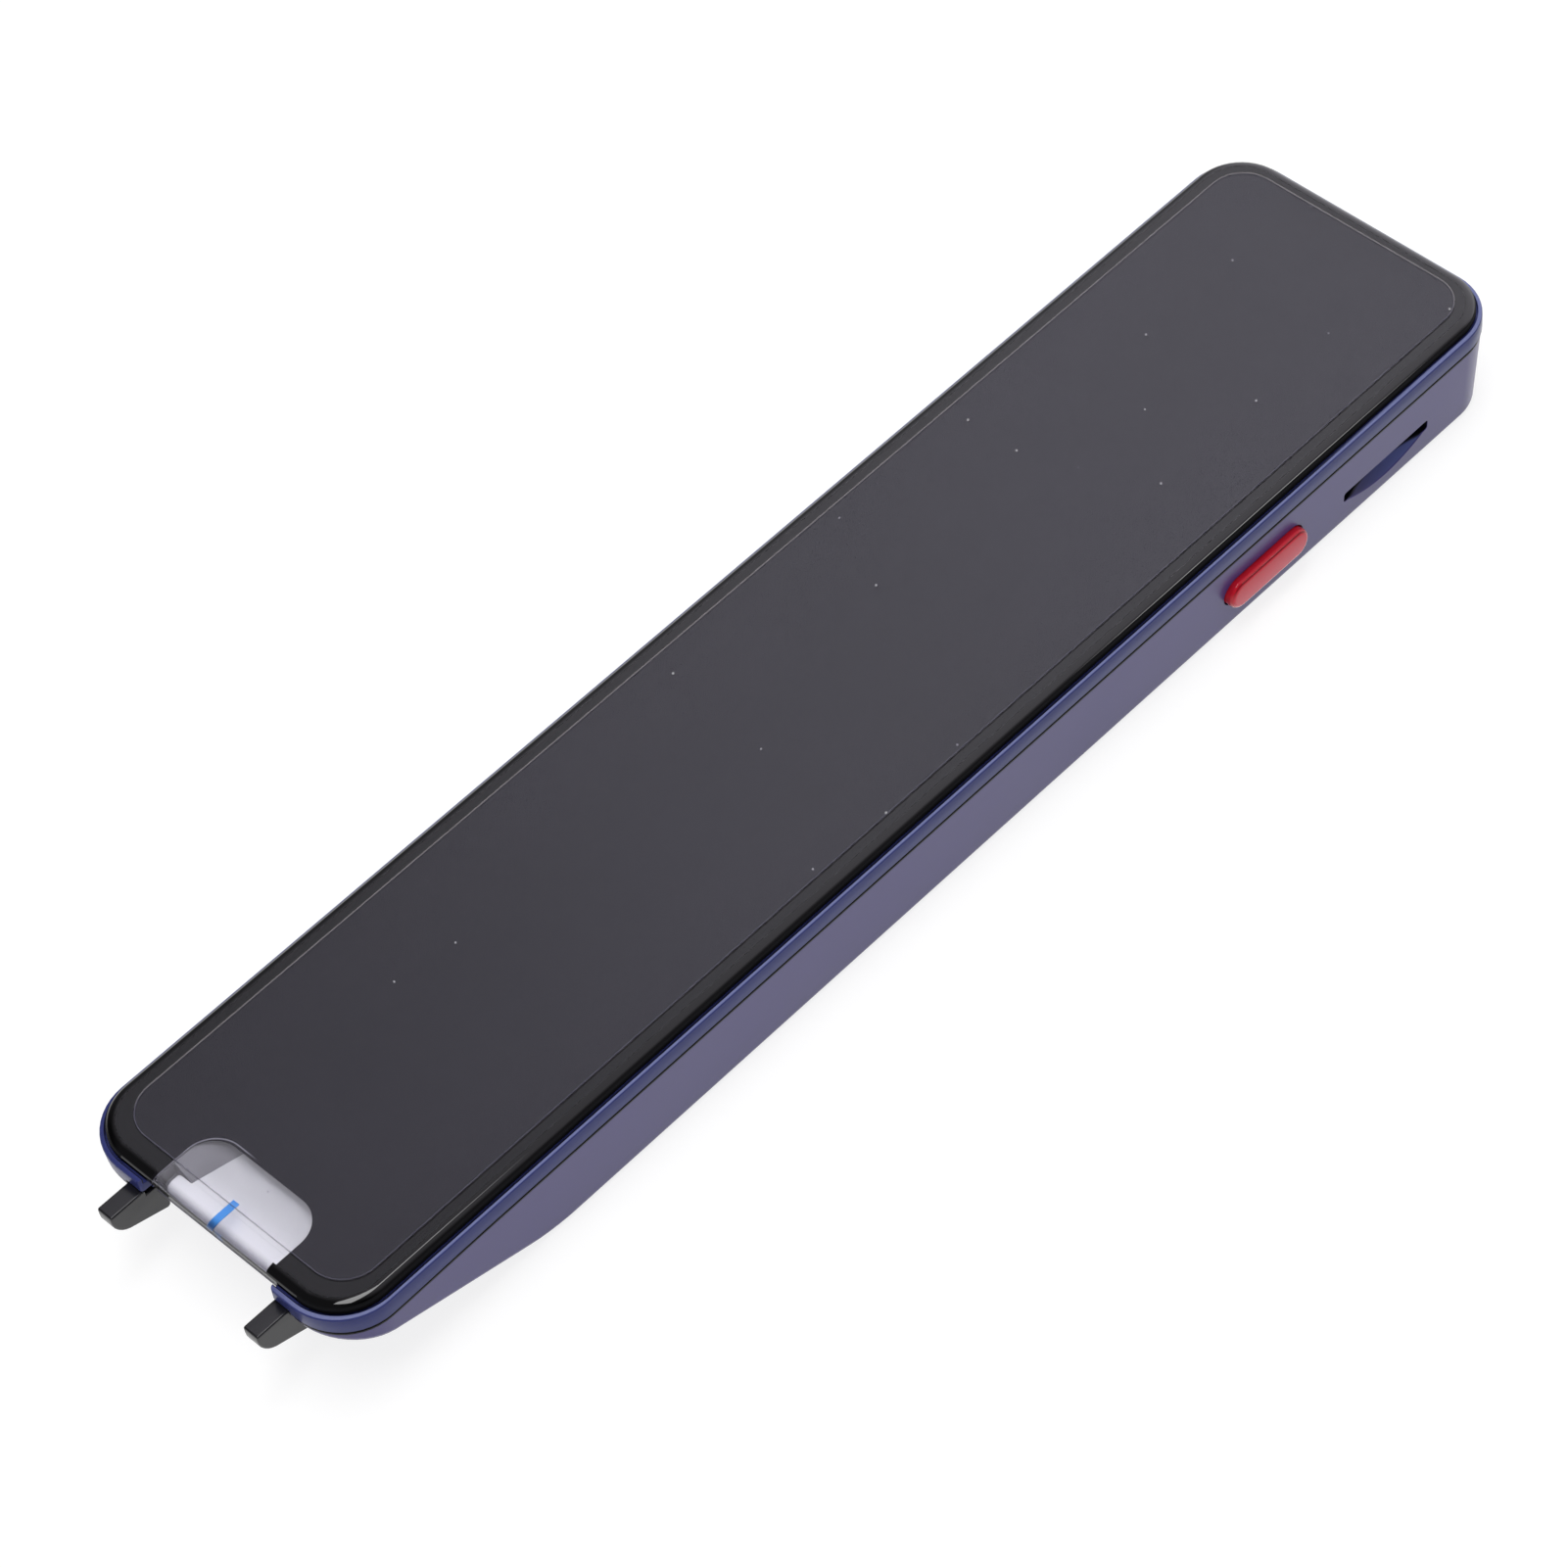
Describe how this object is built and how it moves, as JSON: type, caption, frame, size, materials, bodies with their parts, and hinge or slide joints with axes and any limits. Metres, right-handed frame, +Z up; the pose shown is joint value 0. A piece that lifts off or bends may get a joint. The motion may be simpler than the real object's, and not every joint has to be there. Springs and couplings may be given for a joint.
{
  "type": "scanning pen",
  "caption": "Flat bar-shaped handheld scanner with a full-length screen, a sloping nose with two sprung scanning feet and a clear window, a side push-button and a cord slot.",
  "frame": {"origin": "on the plane of the flat belly the pen rests on, midway along and across the body without its feet", "axes": "+Z up through the screen, -Y towards the scanning nose, +X towards the side with the push-button"},
  "size_m": [0.0351, 0.1589, 0.0132],
  "materials": {
    "housing_paint": "satin metallic lilac-blue paint on moulded plastic",
    "frame_paint": "satin metallic blue, brighter on the lip's edge",
    "glass": "clear polished glass with a rounded edge",
    "film": "thin protective film, slightly hazy",
    "black_print": "opaque black print under the glass",
    "adhesive": "black adhesive foam",
    "mark_ink": "bright blue printed mark",
    "display_glass": "dark display, switched off",
    "tray_steel": "thin pressed steel",
    "chamber_grey": "lilac-grey satin moulding",
    "reflector_silver": "bright satin reflector",
    "foot_black": "satin charcoal moulding",
    "pin_steel": "bright plated steel",
    "satin_black": "satin black moulding",
    "chip_black": "black moulded package",
    "board_green": "green solder mask",
    "led_white": "pale yellow-white lamp package",
    "chassis_metal": "plain stamped aluminium",
    "screw_steel": "dark zinc-plated steel",
    "flex_amber": "amber polyimide ribbon",
    "battery_foil": "silver pouch foil",
    "foam_black": "black foam",
    "microphone_gold": "gold-plated can",
    "button_red": "glossy deep red with a satin face"
  },
  "bodies": {
    "pen": {"lower_housing": "housing_paint", "trim_frame": "frame_paint", "cover_glass": "glass", "protective_film": "film", "glass_print": "black_print", "glass_gasket": "adhesive", "guide_mark": "mark_ink", "display_panel": "display_glass", "display_tray": "tray_steel", "light_chamber": "chamber_grey", "scan_reflector": "reflector_silver", "scan_switch": "satin_black", "camera_lens": "chip_black", "camera_bracket": "satin_black", "camera_module": "chip_black", "camera_board": "board_green", "scan_led_left": "led_white", "scan_led_right": "led_white", "inner_chassis": "chassis_metal", "chassis_screw_1": "screw_steel", "chassis_screw_2": "screw_steel", "chassis_screw_3": "screw_steel", "chassis_screw_4": "screw_steel", "main_board": "board_green", "processor_shield": "pin_steel", "memory_chip": "chip_black", "display_flex": "flex_amber", "battery": "battery_foil", "battery_pad": "foam_black", "tail_board": "board_green", "port_shell": "pin_steel", "port_tongue": "satin_black", "tail_microphone": "microphone_gold", "speaker": "satin_black", "speaker_seal": "foam_black", "side_switch": "pin_steel", "side_switch_board": "board_green"},
    "scan_head": {"scan_feet": "foot_black", "scan_plunger": "pin_steel"},
    "side_button": {"button_cap": "button_red", "side_plunger": "satin_black"}
  },
  "joints": [
    {"name": "scan_head_slide", "type": "slide", "parent": "pen", "child": "scan_head", "axis": [0, 1, 0], "range_m": [0, 0.0006], "stiffness_N_per_m": 300, "springref_m": -0.0008},
    {"name": "side_button_slide", "type": "slide", "parent": "pen", "child": "side_button", "axis": [-1, 0, 0], "range_m": [0, 0.0005], "stiffness_N_per_m": 500, "springref_m": -0.0006}
  ]
}
